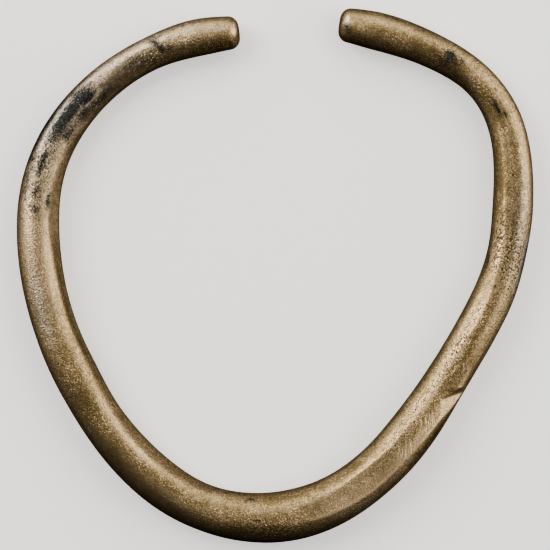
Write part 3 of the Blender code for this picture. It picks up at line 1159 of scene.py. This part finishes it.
def bracelet_skin() -> Skin:
    """Describe this bracelet's surface.

    Returns:
        The skin, with its marks where they lie along the rod and round it.
    """
    stains = [
        # The left arm: a dark line over the top, a mottled spot and smaller marks.
        Spot(10.6, 61.0, 3.0, 1.5, 0.85, 72.0), Spot(10.2, 84.0, 3.4, 1.3, 0.8, 75.0),
        Spot(9.2, 104.0, 2.4, 2.4, 0.35), Spot(14.8, 93.0, 3.4, 1.6, 0.4),
        Spot(6.9, 39.0, 1.2, 0.5, 0.45), Spot(9.8, 46.0, 0.9, 0.5, 0.6),
        Spot(7.3, 77.0, 1.8, 0.35, 0.5, 40.0), Spot(9.0, 63.0, 1.4, 0.35, 0.5, 40.0),
        # The black patch on the left shoulder: its core, then the ragged marks around it.
        Spot(21.5, 80.0, 3.6, 2.6, 1.15), Spot(24.6, 76.5, 8.4, 2.0, 1.15),
        Spot(22.8, 74.0, 5.4, 2.4, 1.05), Spot(21.6, 60.0, 4.2, 2.0, 1.0),
        Spot(25.0, 63.0, 8.6, 1.9, 0.8), Spot(24.5, 57.0, 9.0, 1.3, 0.6),
        Spot(23.0, 116.0, 4.8, 2.6, 0.72), Spot(26.2, 114.0, 3.8, 2.6, 0.64),
        Spot(19.0, 91.0, 2.2, 1.0, 0.35), Spot(21.2, 122.0, 1.2, 3.0, 0.35),
        Spot(31.0, 76.0, 3.8, 1.1, 1.1), Spot(34.7, 80.0, 3.8, 2.4, 0.62),
        Spot(36.8, 81.0, 3.0, 2.4, 0.57),
        Spot(35.6, 120.0, 3.8, 0.9, 0.8), Spot(29.2, 98.0, 1.4, 0.7, 0.5),
        Spot(26.5, 22.0, 18.0, 2.4, 0.78), Spot(31.0, 42.0, 2.6, 1.6, 0.65),
        Spot(24.6, 116.0, 7.0, 1.8, 0.4), Spot(33.5, 45.0, 9.0, 2.6, 0.35),
        # Marks along the rest of the rod.
        Spot(87.8, 143.0, 3.2, 0.9, 0.6), Spot(88.9, 85.0, 3.0, 0.7, 0.4),
        Spot(136.0, 18.0, 10.0, 1.4, 0.4), Spot(135.6, 152.0, 6.8, 1.8, 0.4),
        Spot(154.6, 82.0, 1.6, 0.6, 0.8), Spot(155.6, 97.0, 2.8, 0.7, 0.85),
        Spot(162.9, 73.0, 1.2, 1.4, 0.5), Spot(157.6, 68.0, 0.7, 0.5, 0.9),
        Spot(164.5, 77.0, 1.8, 1.4, 1.0), Spot(164.3, 92.0, 5.0, 4.8, 0.45),
        Spot(178.0, 104.0, 1.6, 2.2, 0.65),
    ]
    pitting = [
        Spot(120.0, 113.0, 44.0, 3.6, 1.35), Spot(137.0, 95.0, 30.0, 6.0, 0.9),
    ]
    speckles = [
        Spot(137.0, 84.0, 20.0, 4.4, 0.85), Spot(138.0, 118.0, 15.0, 3.4, 0.8),
        Spot(136.0, 52.0, 14.0, 2.6, 0.85), Spot(124.0, 114.0, 22.0, 2.6, 0.5),
        Spot(147.0, 84.0, 14.0, 3.0, 0.4), Spot(27.0, 70.0, 34.0, 4.0, 0.6),
        Spot(47.0, 66.0, 20.0, 3.2, 0.3), Spot(13.0, 90.0, 18.0, 3.6, 0.55),
        Spot(100.0, 84.0, 30.0, 3.0, 0.15), Spot(82.0, 72.0, 38.0, 3.8, 0.3),
        Spot(164.2, 80.0, 6.0, 4.0, 0.9),
    ]
    tones = [
        # Darker: painted shade on the inside of the left tip, arm and shoulder, away from the
        # panels.
        Spot(3.0, 126.0, 10.0, 4.0, -0.7), Spot(2.4, 100.0, 3.4, 2.0, -0.25),
        Spot(13.0, 77.0, 14.0, 2.0, -0.25), Spot(13.0, 108.0, 18.0, 4.6, -0.85),
        Spot(20.0, 122.0, 10.0, 3.6, -0.7), Spot(21.5, 130.0, 9.0, 2.6, -0.4),
        Spot(31.0, 92.0, 6.0, 1.8, -0.3),
        # Darker: the left flank and the bottom.
        Spot(52.0, 154.0, 36.0, 1.6, -0.4), Spot(62.0, 78.0, 34.0, 4.2, -0.4),
        Spot(76.0, 100.0, 16.0, 2.4, -0.3), Spot(90.0, 70.0, 18.0, 4.0, -0.5),
        Spot(92.0, 140.0, 22.0, 1.8, -0.4), Spot(103.0, 138.0, 14.0, 1.6, -0.5),
        # Darker round the cut, with painted shade on its steep wall and in the hollow beside it.
        Spot(112.0, 30.0, 14.0, 2.4, -0.7), Spot(115.0, 87.0, 10.0, 1.5, -0.5),
        Spot(118.85, 53.0, 3.5, 1.1, -0.75, 53.0), Spot(119.5, 97.0, 8.0, 1.0, -0.9),
        Spot(120.0, 70.0, 14.0, 3.2, -0.4),
        # Darker: the right flank and arm, with painted shade along the top of the flank.
        Spot(127.0, 86.0, 24.0, 2.2, -0.5), Spot(139.0, 86.0, 12.0, 2.0, -0.4),
        Spot(147.0, 80.0, 16.0, 2.4, -0.3), Spot(147.0, 108.0, 14.0, 1.4, -0.25),
        Spot(147.0, 135.0, 18.0, 3.0, -0.6), Spot(156.0, 106.0, 9.0, 3.4, -0.8),
        Spot(165.0, 100.0, 10.0, 4.5, -0.65), Spot(171.0, 88.0, 16.0, 4.0, -0.4),
        # Lighter: painted highlights on the left tip, arm, shoulder and flank, partly rubbed metal.
        Spot(0.5, 88.0, 1.1, 2.8, 0.5), Spot(3.5, 62.0, 9.0, 3.0, 0.3),
        Spot(12.0, 58.0, 16.0, 1.6, 0.5), Spot(24.0, 48.0, 22.0, 1.6, 0.8),
        Spot(21.0, 101.0, 6.0, 1.6, 0.9), Spot(38.0, 63.0, 16.0, 2.0, 0.3),
        Spot(46.0, 62.0, 24.0, 3.0, 0.2), Spot(43.0, 105.0, 22.0, 3.6, 0.25),
        Spot(68.0, 116.0, 24.0, 2.0, 0.3), Spot(71.5, 115.0, 10.0, 1.6, 0.3),
        # Lighter: the rubbed filed flat and its crest, and painted highlights on the band inside
        # it,
        # # on the right flank, on the right arm and on the right tip.
        Spot(100.0, 72.0, 20.0, 4.0, 0.4), Spot(109.0, 74.0, 8.0, 2.0, 0.2),
        Spot(110.0, 62.0, 14.0, 2.0, 0.35), Spot(121.0, 106.0, 30.0, 2.6, 0.6),
        Spot(138.0, 112.0, 9.0, 1.6, 0.6), Spot(147.0, 46.0, 18.0, 3.0, 0.25),
        Spot(174.0, 58.0, 12.0, 3.0, 0.2), Spot(178.3, 66.0, 1.0, 2.4, 0.5),
        # Light scratches across the left arm and along the right flank.
        Spot(10.7, 104.0, 2.4, 0.4, 0.7, 110.0), Spot(10.2, 115.0, 1.0, 0.35, 0.7, 95.0),
        Spot(9.9, 114.0, 1.0, 0.35, 0.6, 95.0), Spot(19.6, 98.0, 1.6, 0.4, 0.7, 95.0),
        Spot(18.6, 106.0, 1.1, 0.4, 0.6, 95.0), Spot(21.9, 103.0, 1.4, 0.4, 0.5, 95.0),
        Spot(143.5, 120.0, 8.0, 0.4, 0.4, -1.5), Spot(150.5, 122.0, 7.0, 0.4, 0.4, 1.5),
        Spot(150.0, 101.0, 7.0, 0.4, 0.4, 2.0),
        # Small lighter spots.
        Spot(47.6, 117.0, 0.7, 0.5, 0.8), Spot(55.7, 127.0, 0.6, 0.5, 0.8),
        Spot(70.9, 111.0, 1.2, 0.5, 0.6, 60.0), Spot(103.3, 84.0, 0.6, 0.5, 1.0),
        Spot(176.5, 101.0, 0.6, 0.5, 0.8),
    ]
    blooms = [
        Spot(25.0, 54.0, 22.0, 4.0, 0.7), Spot(26.0, 20.0, 20.0, 2.6, 0.8),
        Spot(22.0, 62.0, 52.0, 12.0, 0.4), Spot(141.0, 60.0, 26.0, 5.0, 0.25),
        Spot(48.0, 66.0, 20.0, 3.6, 0.35), Spot(136.0, 24.0, 14.0, 3.0, 0.6),
        Spot(2.4, 78.0, 4.0, 1.6, 0.3), Spot(100.0, 20.0, 14.0, 2.0, 0.2),
        Spot(178.4, 80.0, 2.0, 3.0, 0.3),
    ]
    filing = [
        Spot(109.7, 76.0, 3.4, 3.0, 1.3), Spot(114.2, 74.0, 5.6, 2.6, 1.3),
        Spot(121.4, 66.0, 3.0, 2.4, 0.5), Spot(103.3, 80.0, 2.0, 1.6, 0.5),
    ]
    etching = [
        Spot(46.0, 64.0, 22.0, 3.6, 0.4), Spot(74.0, 50.0, 36.0, 5.0, -0.7),
        Spot(136.0, 84.0, 26.0, 4.0, 0.2), Spot(29.0, 76.0, 28.0, 6.0, 0.7),
        Spot(92.0, 70.0, 14.0, 4.0, 0.25), Spot(118.0, 108.0, 34.0, 3.4, 0.9),
        Spot(136.0, 48.0, 30.0, 3.4, 0.45), Spot(108.0, 78.0, 22.0, 4.0, -0.1),
        Spot(167.0, 70.0, 18.0, 6.0, -0.15), Spot(10.0, 75.0, 20.0, 6.0, 0.4),
        Spot(64.0, 110.0, 40.0, 4.0, 0.2),
    ]
    return Skin(
        hammer=HammerWork(), stains=Spots(stains, margin=Skin.STAIN_MARGIN),
        pitting=Spots(pitting), speckles=Spots(speckles), tones=Spots(tones),
        blooms=Spots(blooms), filing=Spots(filing), etching=Spots(etching))


def main() -> None:
    """Make the bracelet's visible piece and the studio around it."""
    studio = Studio()
    studio.add_camera()
    studio.add_lights()
    studio.add_floor()
    piece = bracelet_rod().build(bracelet_skin(), TarnishedSilver())
    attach(piece, "root")
    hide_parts("bracelet")
    triangles = sum(len(face.vertices) - 2 for face in piece.data.polygons)
    LOG.info("%s: %d triangles", piece.name, triangles)


if __name__ == "__main__":
    logging.basicConfig(level=logging.INFO)
    main()
